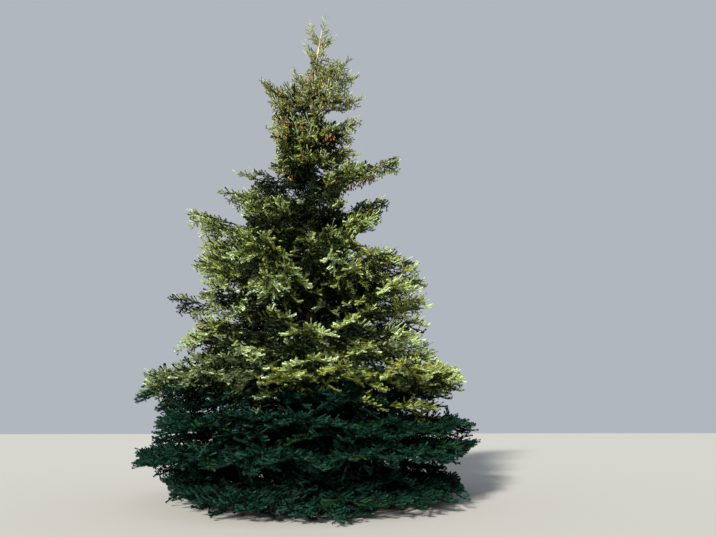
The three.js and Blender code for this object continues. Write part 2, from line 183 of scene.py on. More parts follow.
def bark_material():
    """Grey-brown scaly bark, dark in its furrows, tan and smoother up the young stem."""
    material = bpy.data.materials.new("spruce_bark")
    material.use_nodes = True
    nodes, links = material.node_tree.nodes, material.node_tree.links

    def feed(node, inputs):
        """Links each input that is given another node's output, and sets the others."""
        for name, value in inputs.items():
            if isinstance(value, bpy.types.NodeSocket):
                links.new(value, node.inputs[name])
            else:
                node.inputs[name].default_value = value

    def made(kind, inputs, output, **settings):
        """One output of a new node."""
        node = nodes.new("ShaderNode" + kind)
        for name, value in settings.items():
            setattr(node, name, value)
        feed(node, inputs)
        return node.outputs[output]

    where = made("TexCoord", {}, "Object")
    stretch = made("Mapping", {"Vector": where, "Scale": (1, 1, 0.35)}, "Vector")
    cells = {"Vector": stretch, "Scale": 38}
    plates = made("TexVoronoi", cells, "Distance", feature="DISTANCE_TO_EDGE")
    flakes = made("TexNoise", {"Vector": stretch, "Scale": 24, "Detail": 8, "Roughness": 0.7}, "Fac")
    tones = made("ValToRGB", {"Fac": flakes}, "Color")
    ramp = tones.node.color_ramp.elements
    ramp[0].position, ramp[0].color = 0.30, (0.06, 0.045, 0.033, 1)
    ramp[1].position, ramp[1].color = 0.72, (0.23, 0.19, 0.145, 1)
    ramp.new(0.5).color = (0.135, 0.105, 0.08, 1)
    furrows = made("MapRange", {"From Max": 0.07, "To Min": 0.35, "Value": plates}, "Result")
    both = {"Factor": 1, "A": tones, "B": furrows}
    old = made("Mix", both, "Result", data_type="RGBA", blend_type="MULTIPLY")
    height = made("SeparateXYZ", {"Vector": where}, "Z")
    young = made("MapRange", {"From Min": 9.5, "From Max": 12.6, "Value": height}, "Result")
    both = {"Factor": young, "A": old, "B": (0.47, 0.42, 0.26, 1)}
    colour = made("Mix", both, "Result", data_type="RGBA")
    matt = made("MapRange", {"To Min": 0.95, "To Max": 0.78, "Value": flakes}, "Result")
    bump = made("Bump", {"Strength": 0.6, "Distance": 0.004, "Height": flakes}, "Normal")
    feed(nodes["Principled BSDF"],
         {"Base Color": colour, "Roughness": matt, "Normal": bump, "Specular IOR Level": 0.2})
    return material


bark = bark_material()


def finished_piece(name, mesh, materials, nodes=()):
    """Makes a mesh a piece that rides with the tree, with its materials, and stands for its nodes."""
    for material in materials:
        mesh.materials.append(material)
    piece = bpy.data.objects.new(name, mesh)
    scene.collection.objects.link(piece)
    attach(piece, "root")
    if nodes:
        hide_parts(*nodes)


def bark_piece(name, tube, node):
    """Finishes a bent tube as the bark of a node."""
    mesh = bpy.data.meshes.new(name)
    bmesh.ops.recalc_face_normals(tube, faces=tube.faces)
    tube.to_mesh(mesh)
    tube.free()
    mesh.shade_smooth()
    finished_piece(name, mesh, [bark], [node])


trunk = upright_tube(TRUNK_SIDES, TRUNK_RINGS)
for vert in trunk.verts:
    height = STEM_TOP * (vert.co.z + 0.5) ** RING_POWER
    around = atan2(vert.co.y, vert.co.x)
    lobes = 1 + LOBE_DEPTH * exp(-height / FLARE_HEIGHT) * cos(ROOT_LOBES * atan2(vert.co.x, vert.co.y))
    radius = stem_radius(height)
    size = (radius / PLATE_SIZE[0], 1 / PLATE_SIZE[1])
    wide = radius * (lobes + bark_rise(around, height, size))
    vert.co = stem_middle(height) + Vector((cos(around) * wide, sin(around) * wide, 0))
bark_piece("trunk_bark", trunk, "trunk")

# The plan of the crown: the rule of the source, written again. Each tier has two or three masses of
# foliage, and each mass has boughs that leave the trunk, sag under their weight and turn up at the tip.
TIERS = (
    # Height of the tips, reach, turn, masses, reach of the others, own climb of the first, if any
    (0.33, 3.85, 190, 3, 1, 0),
    (0.96, 4.12, 165, 3, 1, 0),
    (1.72, 3.85, 205, 3, 0.97, 0),
    (2.68, 4.18, 180, 3, 0.9, 0),
    (3.6, 3.42, 150, 3, 0.97, 0),
    (4.62, 3.42, 188, 3, 0.95, 0),
    (5.54, 3.1, 10, 3, 1.05, 0),
    (6.38, 2.82, 178, 3, 0.84, 0),
    (7.29, 3.45, 182, 3, 0.64, 0),
    (7.9, 2.15, 8, 3, 1.05, 38),
    (8.86, 2.52, -8, 3, 0.62, 0),
    (9.66, 1.72, 180, 3, 0.8, 0),
    (10.52, 1.62, 170, 3, 0.86, 0),
    (11.4, 1.64, 176, 3, 0.74, 0),
    (12.06, 0.96, 5, 3, 0.64, 0),
    (12.56, 0.58, 165, 2, 0.85, 0),
    (13.06, 0.5, 15, 2, 0.7, 0),
)
BOUGH_TIERS = 3
SLOPE_AT_GROUND = -14
SLOPE_AT_TOP = 36
SAG = 0.055
TIP_SCATTER = 0.05
REACH_SCATTER = 0.04
BOUGH_END = 0.28
FORK_PAST_BOUGH = 0.06
FORK_FROM_TRUNK = 0.2
FAN_POWER = 0.38
WIDE_SPACE_ARMS = 1.25
LIMB_BASE = 0.0088
LIMB_END = 0.003
LIMB_LEAST = 0.004
TIER_SEEDS = (7001, 97)
DRAW_FACTOR = 1664525
DRAW_STEP = 1013904223
DRAW_RANGE = 2**32
SIDE_NAMES = ("right", "back_right", "back", "back_left", "left", "front_left", "front", "front_right")
# The three arms that fork from a mass's stem, as in the source, then the finer boughs that grow between
# them straight from the trunk: swing, share of the reach, and lift as a share of the room to the next tier
ARMS = ((0, 1, 0), (38, 0.94, 0.14), (-38, 0.96, -0.2))
FINER_BOUGHS = (
    (19, 0.9, 0.3), (60, 0.88, 0.2), (-17, 0.87, 0.45), (-50, 0.9, 0.34),
    (30, 0.84, 0.6), (43, 0.88, 0.1),
)
FINER_BY_TIER = ((5, 6), (8, 5), (9, 4), (11, 2), (14, 3), (17, 0))
# In the shaded skirt they lie almost level beside each other, so that each tier there is one broad plate
SKIRT_BOUGHS = (
    (19, 0.98, 0.04), (57, 0.97, 0.06), (-19, 0.97, -0.05), (-57, 0.98, 0.1),
    (29, 0.95, -0.06), (-29, 0.95, 0.06), (9, 0.93, 0.14), (48, 0.93, 0.12),
    (-48, 0.95, 0), (-9, 0.86, 0.42), (33, 0.82, 0.5), (-38, 0.84, 0.46),
)
SKIRT_TIERS = 4
# A mass with one arm longer than the rest has more boughs close along that arm
NARROW = 12
LONG_ARM_BOUGHS = ((8, 0.93, -0.2), (-9, 0.9, 0.12), (4, 0.84, -0.5), (-5, 0.97, -0.1))
# The masses that the photograph shows darker than their neighbours, by tier and number
SHADED_MASSES = {(9, 1): 0.36, (10, 0): 0.68, (10, 2): 0.34, (11, 2): 0.24}


def source_draws(seed):
    """The source's own repeatable row of numbers from 0 to 1."""
    state = seed
    while True:
        state = (state * DRAW_FACTOR + DRAW_STEP) % DRAW_RANGE
        yield state / DRAW_RANGE


def masses_of_crown():
    """Each mass of foliage with its place, reach, stem and node, from the ground up."""
    masses = []
    for index, (tip_height, first_reach, turn, count, others, steep) in enumerate(TIERS):
        draws = source_draws(TIER_SEEDS[0] + TIER_SEEDS[1] * index)
        slope = SLOPE_AT_GROUND + (SLOPE_AT_TOP - SLOPE_AT_GROUND) * tip_height / STEM_TOP
        above = TIERS[index + 1][0] if index + 1 < len(TIERS) else STEM_TOP
        for k in range(count):
            scatter = 1 - REACH_SCATTER + 2 * REACH_SCATTER * next(draws)
            reach = first_reach * (1 if k == 0 else others * scatter)
            climb = tan(radians(steep if k == 0 and steep else slope))
            tip = tip_height
            if k:
                tip += reach * (-TIP_SCATTER + 2 * TIP_SCATTER * next(draws))
            azimuth = (turn + 360 + 360 * k / count) % 360
            side = SIDE_NAMES[int(azimuth / 45 + 0.5) % 8]
            masses.append({
                "tier": index + 1, "k": k, "side": side, "azimuth": azimuth, "reach": reach, "tip": tip,
                "attach": tip - reach * climb, "room": above - tip_height,
                "fork": BOUGH_END + FORK_PAST_BOUGH if index < BOUGH_TIERS else FORK_FROM_TRUNK,
                "fan": WIDE_SPACE_ARMS if count < 3 else 1, "sides": 1 if k else min(1, others),
                "shade": SHADED_MASSES.get((index + 1, k), 0.0), "tone": 0.0,
                "node": f"foliage_{index + 1:02d}_{side}",
            })
    return masses


def bough_line(mass, swing, reach_share, lift, forks):
    """The line of one bough, from the trunk's middle (0) to its furthest needle (1)."""
    reach = mass["reach"] * reach_share * (mass["sides"] if abs(swing) > NARROW else 1)
    fork = mass["fork"] if forks else 0.0
    rise = mass["tip"] - mass["attach"]

    def line(part):
        past = max(0.0, (part - fork) / (1 - fork))
        out = min(part, fork) * mass["reach"] + past * (reach - fork * mass["reach"])
        share = out / mass["reach"]
        fanned = past**FAN_POWER if forks else 1
        facing = radians(mass["azimuth"] + swing * mass["fan"] * fanned)
        height = mass["attach"] + rise * share - 4 * SAG * out * (1 - share)
        height += lift * mass["room"] * (past if forks else 1)
        return stem_middle(height) + Vector((out * cos(facing), out * sin(facing), 0))

    return line


masses = masses_of_crown()

# Single boughs that the photograph shows beside the masses: tier, turn, reach, height of the tip, climb in
# degrees, shade, change of tone, and the swings and shares of the arms beside its middle one
SINGLE_BOUGHS = (
    # The first is a plate in front of the skirt's top; its change of tone deals it the teal of the painted
    # shade.
    (4, 272, 2.95, 2.22, -8, 0, -1.5, (
        (13, 0.97), (-13, 0.95), (26, 0.9), (-25, 0.88), (6, 0.85), (-7, 0.87), (19, 0.8), (-18, 0.82))),
    (6, 268, 0.82, 4.86, 5, 0.7, 0, ((35, 0.96), (-35, 0.96))),
    (9, 264, 0.82, 6.95, 5, 0.6, 0, ((35, 0.96), (-35, 0.96))),
    (9, 272, 0.82, 7.45, 8, 0.6, 0, ((35, 0.96), (-35, 0.96))),
    (7, 2, 2.45, 6.02, 8, 0, 0, ((15, 0.95), (-15, 0.95), (28, 0.9), (-30, 0.9))),
    (10, 181, 2.2, 8.26, 5, 0.35, 0, ((14, 0.8), (-12, 0.86))),
    (10, 186, 2.34, 7.66, 14, 0.1, 0, ((12, 0.82), (-13, 0.8))),
    (10, 264, 1.3, 8.42, 10, 0.5, 0, ((24, 0.92), (-24, 0.9))),
    (10, 152, 1.6, 7.72, 10, 0.6, 0, ((20, 0.9), (-22, 0.92), (40, 0.85))),
    (11, -6, 1.56, 9.04, 6, 0.1, 0, ((16, 0.7), (-20, 0.76))),
    (12, -12, 1.46, 10.06, 14, 0.1, 0, ((22, 0.7),)),
    (13, 4, 1.54, 10.98, 19, 0, 0, ((18, 0.84), (-16, 0.8))),
    (14, -6, 1.42, 11.62, 26, 0, 0, ((20, 0.8), (-15, 0.86))),
    (15, 2, 1.06, 12.16, 20, 0, 0, ((-30, 0.8),)),
    (14, 195, 0.8, 11.56, 30, 0, 0, ()),
)

# Where the photograph shows the crown open, nothing grows across the line of sight, and in front of its
# dark recesses nothing grows that would hide them. Each opening is an ellipse as the camera sees it in the
# upright plane through the trunk: its middle, half width, half height and tilt, by how far back it goes.
# Shoots above the plate's top that are seen through one from behind are dealt darker needles, painted shade,
# and one whose back lies in front of the whole tree does only that.
ALL_THROUGH = 9
RECESS_BACK = -0.85
SHADE_ONLY = -9
PLATE_BACK = -3.02
PLATE_TOP = 2.55
RECESS_SHADE = 0.6
OPENINGS = {
    ALL_THROUGH: (
        (1.22, 7.85, 0.54, 0.27, 18), (1.78, 6.44, 0.74, 0.21, 0), (1.86, 9.2, 0.62, 0.33, 12),
        (-1.66, 8.98, 0.5, 0.48, 0), (0.44, 10.22, 0.33, 0.17, -12), (-1.66, 10.04, 0.28, 0.18, 0),
        (-1.12, 11.52, 0.32, 0.18, 0), (-0.56, 12.02, 0.23, 0.36, 0), (-0.07, 13.22, 0.08, 0.28, 8),
        (-3.92, 6.9, 0.46, 0.46, 0), (-2.05, 8.0, 0.34, 0.12, -12), (-2.35, 7.05, 0.55, 0.16, -35),
        (0.4, 12.4, 0.24, 0.15, -25), (-4.05, 0.1, 0.85, 0.4, 0), (-4.3, 1.7, 0.62, 0.36, 0),
        (-4.48, 0.9, 0.4, 0.34, 0), (-4.55, 2.62, 0.5, 0.32, 0), (4.45, 0.45, 0.8, 0.75, 0),
    ),
    RECESS_BACK: (
        (-0.42, 8.05, 0.52, 0.42, 0), (-0.18, 7.05, 0.42, 0.5, 10), (0.45, 9.35, 0.34, 0.34, 30),
        (0.46, 4.78, 0.26, 0.2, -35),
    ),
    SHADE_ONLY: (
        (-1.3, 3.95, 0.42, 0.26, -20), (-0.28, 3.46, 0.56, 0.2, 6), (-2.2, 4.7, 0.4, 0.22, 0),
        (-2.45, 3.5, 0.5, 0.2, 0), (1.55, 3.9, 0.5, 0.2, -10), (-1.05, 7.92, 0.62, 0.26, 0),
        (-1.4, 6.82, 0.6, 0.22, 0), (0.02, 2.96, 0.4, 0.17, 0), (-1.6, 2.98, 0.55, 0.1, -8),
        (1.3, 3.05, 0.45, 0.12, -15),
    ),
    PLATE_BACK: ((-0.05, 2.42, 1.15, 0.33, 6),),
}
LINE_CHECKS = 20
LEAST_BOUGH = 0.4


def behind_opening(place):
    """How far a place lies behind the back of the opening it is seen through: none outside them all."""
    near = EYE_DISTANCE / (EYE_DISTANCE + place.y)
    across, height = place.x * near, EYE_HEIGHT + (place.z - EYE_HEIGHT) * near
    for back, ellipses in OPENINGS.items():
        for x, z, wide, tall, tilt in ellipses:
            if abs(across - x) > wide + tall or abs(height - z) > wide + tall:
                continue
            lean = radians(tilt)
            along = (across - x) * cos(lean) + (height - z) * sin(lean)
            over = (height - z) * cos(lean) - (across - x) * sin(lean)
            if (along / wide) ** 2 + (over / tall) ** 2 < 1:
                return place.y - back
    return None


def in_opening(place):
    """Whether nothing may grow at a place, since it would hide an opening."""
    behind = behind_opening(place)
    return behind is not None and behind < 0


def short_of_opening(line):
    """The line as far as it can grow before it comes into an opening, or none where little is left."""
    for i in range(2, LINE_CHECKS + 1):
        if in_opening(line(i / LINE_CHECKS)):
            left = (i - 1) / LINE_CHECKS
            return (lambda part: line(part * left)) if left > LEAST_BOUGH else None
    return line


# The boughs of the three lowest tiers: bare limbs as thick as an arm, with the trunk's bark on them.
# Each runs from the trunk to where its foliage begins.
BOUGH_SIDES = 14
BOUGH_RINGS = 40
BOUGH_PLATES = (9, 30)
BOUGH_SPAN = (0.01, BOUGH_END + 0.004)
NUDGE = 0.01


def bend_limb(tube, line, radius_at):
    """Bends an upright tube along the bare inner stretch of a bough's line, with the bark's relief."""
    for vert in tube.verts:
        part = BOUGH_SPAN[0] + (BOUGH_SPAN[1] - BOUGH_SPAN[0]) * (vert.co.z + 0.5)
        along = (line(part + NUDGE) - line(part - NUDGE)).normalized()
        side = along.cross(UP).normalized()
        over = side.cross(along)
        around = atan2(vert.co.y, vert.co.x)
        wide = radius_at(part) * (1 + bark_rise(around, part, BOUGH_PLATES))
        vert.co = line(part) + (side * cos(around) + over * sin(around)) * wide


def limb_radius(mass):
    """The radius of a bough of a mass at each part of its length."""
    return lambda part: mass["reach"] * (LIMB_END + (LIMB_BASE - LIMB_END) * (1 - part)) + LIMB_LEAST


for mass in masses:
    if mass["tier"] <= BOUGH_TIERS:
        tube = upright_tube(BOUGH_SIDES, BOUGH_RINGS)
        bend_limb(tube, bough_line(mass, *ARMS[0], True), limb_radius(mass))
        node = f"bough_{mass['tier']}_{mass['side']}"
        bark_piece(node + "_bark", tube, node)

# The foliage: boughs bear twigs on both sides, and twigs bear shoots as close as fingers. A twig leans
# forward, droops by its own weight and lifts its tip. Shoots cover its outer part and its own line.
# Where a value changes up the tree it is a row of heights, each with its value.
STEP = 0.17
WANDER = 0.06
TWIG_SPACING = ((0, 0.1), (2.6, 0.12), (5, 0.145), (9, 0.11), (13, 0.09))
LEAFY_FROM = ((0, 0.32), (2, 0.3), (4, 0.2), (8, 0.12), (13, 0.08))
RIM_FROM = 0.52
INNER_SPACING = 0.9
LIFT_UNFELT = 0.15
# Lifted boughs, which fill the room between tiers, are dealt darker needles by this much at each height:
# painted shade
SHADE_OF_LIFTED = ((0, 0.85), (3, 0.8), (4, 0.65), (14, 0.5))
BREADTH = ((0, 0.3), (3, 0.36), (7, 0.5), (10, 0.5), (13, 0.4))
TWIG_REACH = ((0, 0.24), (3, 0.25), (7, 0.27), (9.2, 0.27), (10.2, 0.18), (13, 0.2))
TWIG_LEAST = 0.14
TWIG_ANGLE = (66, 42)
TWIG_SCATTER = (0.8, 1.15)
TWIG_TONE = 0.5
TWIG_RADIUS = (0.0025, 0.0035)
TWIG_TAPER = (1, 0.7, 0.3)
TWIG_SIDES = 3
HANG = ((0, 3), (1.8, 7), (3.2, 18), (7, 27), (10, 28), (13, 0))
HANG_SCATTER = ((0, 7), (2.5, 9), (4, 16), (7, 16), (13, 16))
DANGLE_FROM = 2.6
DANGLE_HANG = 20
DANGLE_CHANCE = 0.3
DANGLE_LENGTH = 0.7
DANGLE_SHADE = 0.1
PAD = 0.62
PAD_DEPTH = 0.36
PAD_START = 0.14
PAD_POWER = 0.4
DROOP = ((0, 0.05), (2.5, 0.07), (5, 0.12), (9, 0.12), (12, 0.02))
LIFT = 0.14
LIFT_FROM = 0.6
LONG_TWIG = 0.3
SIDE_SPACING = ((0, 0.103), (2.6, 0.099), (4, 0.084), (9, 0.084), (11, 0.1), (13, 0.13))
SHOOT_THICK = ((0, 1.16), (2.6, 1.14), (4, 1.14), (9, 1.08), (11, 0.95), (13, 0.72))
SIDE_ANGLE = 50
SIDE_LENGTHS = (0.125, 0.21)
SIDE_TAPER = 0.38
SIDE_END = 0.03
SIDE_TURN = 10
LENGTH_SCATTER = (0.85, 1.15)
SHOOT_OVERLAP = 1.15
BARE_TWIG = 0.16
TIP_ROOM = 0.08
SHOOT_STANDS = (-0.35, 0.75)
SKIRT_STANDS = -0.25
SKIRT_TOP = 2.2
# Shoots that stand down from their twig are dealt darker needles: painted shade on the undersides
UNDERSIDE_SHADE = 0.5
# Shoots further in along a twig and along a bough are dealt darker needles: partly their age, partly painted
# shade
TWIG_AGE_AND_SHADE = 0.62
BOUGH_AGE_AND_SHADE = 0.5
SHADE_INWARD = 1.6
GROUND_CLEAR = 0.035
GROUND_RISE = 0.02
WOOD_CLEAR = 0.02
TIP_SHOOT = (0.22, 0.36)
TIP_BARE = ((0, 0.12), (8, 0.14), (10, 0.26))
TIP_TURN = ((0, 0.15), (8, 0.2), (10, 0.45))
TIP_FAN = 0.75
TIP_TONE = 0.4
FAN_TONE = 0.5
YOUNG_BOUGH = 0.75
YOUNG_ABOVE = 3.2
YOUNG_DROOP = -0.07
YOUNG_AGE = 0.3
NEW_AGE = 0.02
LIMB_RINGS = 9
LIMB_SIDES = 5
LIMB_THIN = 0.003
LIMB_SHORT = 0.12
LIMB_POWER = 0.7
SIDE_BOUGH = 0.62
TWIGS_END = 0.2
BOX_ROOM = 0.015


def along_height(table, height):
    """The value at a height, between the rows of a table."""
    return float(np.interp(height, *zip(*table)))


def turned(direction, normal, degrees):
    """The direction, turned round a normal."""
    return Quaternion(normal, radians(degrees)) @ direction


class Crown:
    """What has grown: shoots of needles and woody lines, each with the tier that grew just then."""

    def __init__(self, low, high):
        room = (high - low) * BOX_ROOM
        self.low, self.high = low - room, high + room
        self.tier = 1
        self.shoots = []
        self.wood = []

    def holds(self, place):
        return all(low < at < high for low, at, high in zip(self.low, place, self.high))

    def shoot(self, start, direction, length, thick, age_and_shade, tone):
        """Adds a shoot where there is room, bent up where it would touch the ground."""
        end = start + direction * length
        if end.z < GROUND_CLEAR:
            direction = Vector((direction.x, direction.y, max(0.0, (GROUND_CLEAR - start.z) / length)))
            direction.normalize()
            end = start + direction * length
        if in_opening(start) or in_opening(end):
            return
        # Painted shade: a shoot above the plate that is seen through an opening from behind is dealt darker
        # needles.
        if end.z > PLATE_TOP and behind_opening(end) is not None:
            age_and_shade += RECESS_SHADE
        if self.holds(end) and self.holds(start):
            self.shoots.append((*start, *direction, length, thick, age_and_shade, tone, self.tier))

    def limb(self, points, radii, sides, kind):
        """Adds a limb or twig, kept above the ground and inside the crown's reach."""
        if in_opening(points[-1]):
            return
        low, high = self.low, self.high
        kept = [Vector((min(max(point.x, low.x), high.x), min(max(point.y, low.y), high.y),
                        max(point.z, WOOD_CLEAR))) for point in points]
        self.wood.append((kept, radii, sides, kind, self.tier))


def grow_twig(crown, chance, start, heading, normal, length, droop, age_and_shade=NEW_AGE, tone=FAN_TONE):
    """A twig, clothed with shoots along its line, at both sides and at its tip."""
    thick = along_height(SHOOT_THICK, start.z)
    spacing = along_height(SIDE_SPACING, start.z)
    steps = max(1, round(length / STEP))
    step = length / steps
    bare = BARE_TWIG * length if length > LONG_TWIG else 0.0
    points, headings = [start], []
    direction = heading.copy()
    for i in range(steps):
        lift = LIFT if i >= LIFT_FROM * steps else 0.0
        wander = Vector(chance.uniform(-1, 1) for _ in range(3)) * WANDER
        direction = (direction + UP * (lift - droop) + wander).normalized()
        if points[-1].z + direction.z * step < GROUND_CLEAR:
            direction = Vector((direction.x, direction.y, GROUND_RISE)).normalized()
        ahead = points[-1] + direction * step
        if in_opening(ahead):
            break
        points.append(ahead)
        headings.append(direction)
        if (i + 1) * step > bare:
            here = age_and_shade + TWIG_AGE_AND_SHADE * (1 - (i + 1) / steps)
            crown.shoot(points[-2], direction, step * SHOOT_OVERLAP, thick, here, tone)
    if not headings:
        return
    if len(headings) < steps:
        steps = len(headings)
        length = steps * step
    out = bare + SIDE_END
    hand = 1
    while out < length - SIDE_END:
        i = min(int(out / step), steps - 1)
        direction = headings[i]
        side = direction.cross(normal).normalized()
        flat = side.cross(direction).normalized()
        left = length - out
        size = SIDE_LENGTHS[0] + (SIDE_LENGTHS[1] - SIDE_LENGTHS[0]) * min(1, left / SIDE_TAPER)
        away = turned(direction, flat, hand * (SIDE_ANGLE + chance.uniform(-SIDE_TURN, SIDE_TURN)))
        stand = chance.uniform(SHOOT_STANDS[0] if start.z > SKIRT_TOP else SKIRT_STANDS, SHOOT_STANDS[1])
        away = (away + flat * stand).normalized()
        root = points[i] + direction * (out - i * step)
        here = age_and_shade + TWIG_AGE_AND_SHADE * left / length + UNDERSIDE_SHADE * max(0.0, -stand)
        crown.shoot(root, away, size * chance.uniform(*LENGTH_SCATTER), thick, here, tone)
        hand = -hand
        out += spacing / 2 * chance.uniform(0.7, 1.3)
    radius = TWIG_RADIUS[0] + TWIG_RADIUS[1] * length
    woody = [points[0] - heading * NUDGE, points[(steps + 1) // 2], points[-1]]
    # Twigs below YOUNG_ABOVE get the dark old bark as painted shade, and so do twigs dealt much age or
    # shade.
    kind = "young" if age_and_shade <= YOUNG_AGE and start.z > YOUNG_ABOVE else "old"
    crown.limb(woody, [radius * share for share in TWIG_TAPER], TWIG_SIDES, kind)


def grow_bough(crown, chance, mass, line, lift, forks, leading):
    """One bough's wood, its twigs on both sides and below, and the long thin shoot at its tip."""
    tip = line(1)
    crown.tier = tier = mass["tier"]
    reach = (tip - stem_middle(tip.z)).length
    if reach < YOUNG_BOUGH:
        start = line(0.02)
        heading = (line(0.6) - start).normalized()
        normal = (UP - heading * heading.z).normalized()
        grow_twig(crown, chance, start, heading, normal, reach * 0.9, YOUNG_DROOP)
        last = chance.uniform(*TIP_SHOOT) * 0.7
        rising = (heading + UP * 0.4).normalized()
        crown.shoot(tip - heading * last * 0.6, rising, last, 0.6, 0.0, TIP_TONE)
        return
    level = mass["tip"]
    leafy = RIM_FROM if tier <= SKIRT_TIERS and not forks else along_height(LEAFY_FROM, level)
    first = BOUGH_END if leading and tier <= BOUGH_TIERS else 0.0
    if forks and not leading:
        first = mass["fork"]
    parts = np.linspace(first, 1 - LIMB_SHORT / reach, LIMB_RINGS)
    thick = limb_radius(mass)
    scale = 1.0 if leading else SIDE_BOUGH
    radii = [max(LIMB_THIN, scale * thick(part) * (1 - part) ** LIMB_POWER) for part in parts]
    crown.limb([line(float(part)) for part in parts], radii, LIMB_SIDES, "old")
    tables = (TWIG_SPACING, TWIG_REACH, HANG, HANG_SCATTER, DROOP, BREADTH)
    spacing, longest, hang, scatter, droop, breadth = (along_height(table, level) for table in tables)
    lifted_shade = along_height(SHADE_OF_LIFTED, level) * max(0.0, lift - LIFT_UNFELT)
    out = leafy * reach
    hand = 1
    phase = chance.uniform(0, 2 * pi)
    tones = [chance.gauss(0, 1) for _ in range(int(reach / PAD) + 2)]
    while out < reach - TWIGS_END:
        part = out / reach
        share = (part - leafy) / (1 - leafy)
        root = line(part)
        ahead = (line(part + 2 * NUDGE) - line(part - 2 * NUDGE)).normalized()
        side = ahead.cross(UP).normalized() * hand
        over = (UP - ahead * ahead.z).normalized()
        swell = (share + PAD_START) ** PAD_POWER * (1 - share) ** breadth
        swell *= 1 + PAD_DEPTH * sin(2 * pi * out / PAD + phase)
        length = (longest * reach * swell + TWIG_LEAST) * chance.uniform(*TWIG_SCATTER)
        opening = radians(TWIG_ANGLE[0] + (TWIG_ANGLE[1] - TWIG_ANGLE[0]) * share)
        length = min(length, (reach - out + TIP_ROOM) / cos(opening))
        below = radians(hang + chance.uniform(-scatter, scatter))
        aside = side * cos(below) - over * sin(below)
        heading = ahead * cos(opening) + sin(opening) * aside
        normal = (over * cos(below) + side * sin(below)).normalized()
        # Shoots further in are dealt darker needles, partly for their age and partly as painted shade; those
        # on lifted boughs and shaded masses darker still, painted shade.
        age_and_shade = BOUGH_AGE_AND_SHADE * (1 - share) * chance.uniform(0.6, 1.1) + lifted_shade
        age_and_shade += mass["shade"] * (SHADE_INWARD - share)
        tone = mass["tone"] + tones[int(out / PAD)] + TWIG_TONE * chance.gauss(0, 1)
        grow_twig(crown, chance, root, heading.normalized(), normal, length, droop, age_and_shade, tone)
        # A dangling twig hangs under its bough and is dealt darker needles: painted shade.
        if root.z > DANGLE_FROM and hang > DANGLE_HANG and chance.random() < DANGLE_CHANCE:
            dangle = (ahead * 0.5 - UP + side * chance.uniform(-0.3, 0.3)).normalized()
            long = length * DANGLE_LENGTH
            grow_twig(crown, chance, root, dangle, side, long, 0.0, age_and_shade + DANGLE_SHADE, tone)
        hand = -hand
        out += spacing * chance.uniform(0.75, 1.25) * (1 + INNER_SPACING * (1 - share) ** 2)
    outer = max(leafy, 1 - TIP_FAN / reach)
    ahead = (tip - line(outer)).normalized()
    normal = (UP - ahead * ahead.z).normalized()
    fan = (1 - outer) * reach - along_height(TIP_BARE, level)
    grow_twig(crown, chance, line(outer), ahead, normal, fan, 0.0, 0.05)
    ahead = ((tip - line(0.97)).normalized() + UP * along_height(TIP_TURN, level)).normalized()
    last = min(chance.uniform(*TIP_SHOOT), 0.3 * reach)
    start = line(1 - 0.9 * last / reach)
    crown.shoot(start, ahead, last, 0.62, 0.0, TIP_TONE)
    for hand in (-1, 1):
        away = turned(ahead, normal, hand * SIDE_ANGLE * chance.uniform(0.7, 1))
        crown.shoot(start + ahead * last * 0.15, away, last * 0.5, 0.6, 0.05, TIP_TONE)


INNER_TIERS = 13
INNER_SHOOT = 0.24
INNER_THICK = 1.7
INNER_SHADE = 2.0
INNER_STEPS = 3
INNER_TWIGS = 0.3
INNER_FROM = 0.12
INNER_SPAN = (0.06, 0.64)
INNER_SKIRT_SPAN = 0.88
MASS_SEEDS = (1000, 37)
SINGLE_SEED = 500


def grow_inner(crown, chance, mass, line):
    """Short twigs on the inner part of a bough, which close the crown round its trunk, with the darkest
    needles: painted shade.
    """
    reach = mass["reach"]
    last = INNER_SKIRT_SPAN if mass["tier"] <= SKIRT_TIERS else INNER_SPAN[1]
    out = INNER_SPAN[0] * reach + INNER_FROM
    while out < last * reach:
        root = line(out / reach)
        ahead = (line(out / reach + 2 * NUDGE) - root).normalized()
        side = ahead.cross(UP).normalized() * chance.choice((-1, 1))
        heading = ahead * chance.uniform(-0.2, 0.7) + side * chance.uniform(0.3, 1)
        heading = (heading + UP * chance.uniform(-1.0, 0.3)).normalized()
        for _ in range(INNER_STEPS):
            spread = side.cross(heading) * chance.choice((-1, 1)) * chance.uniform(0.5, 1)
            for direction in (heading, (heading + spread).normalized()):
                crown.shoot(root, direction, INNER_SHOOT, INNER_THICK, INNER_SHADE, 0.0)
            root = root + heading * INNER_SHOOT * 0.8
        out += INNER_TWIGS * chance.uniform(0.6, 1.4)


crown = Crown(*cad_box)
for mass in masses:
    chance = random.Random(MASS_SEEDS[0] * mass["tier"] + MASS_SEEDS[1] * mass["k"])
    finer = FINER_BOUGHS[:next(count for last, count in FINER_BY_TIER if mass["tier"] <= last)]
    if mass["tier"] <= SKIRT_TIERS:
        finer = SKIRT_BOUGHS
    if mass["sides"] <= 0.9:
        finer = (*LONG_ARM_BOUGHS, *finer)
    for number, arm in enumerate((*ARMS, *finer)):
        forks = number < len(ARMS)
        line = short_of_opening(bough_line(mass, *arm, forks))
        if line:
            grow_bough(crown, chance, mass, line, arm[2], forks, number == 0)
            if mass["tier"] <= INNER_TIERS:
                grow_inner(crown, chance, mass, line)
for number, (tier, turn, reach, tip, climb, shade, tone, arms) in enumerate(SINGLE_BOUGHS):
    mass = {
        "tier": tier, "azimuth": turn, "reach": reach, "tip": tip, "room": 0, "fan": 1, "sides": 1,
        "attach": tip - reach * tan(radians(climb)), "shade": shade, "tone": tone,
    }
    chance = random.Random(SINGLE_SEED + number)
    for swing, share in ((0, 1), *arms):
        line = short_of_opening(bough_line(mass, swing, share, 0.0, False))
        if line:
            grow_bough(crown, chance, mass, line, 0.0, False, False)

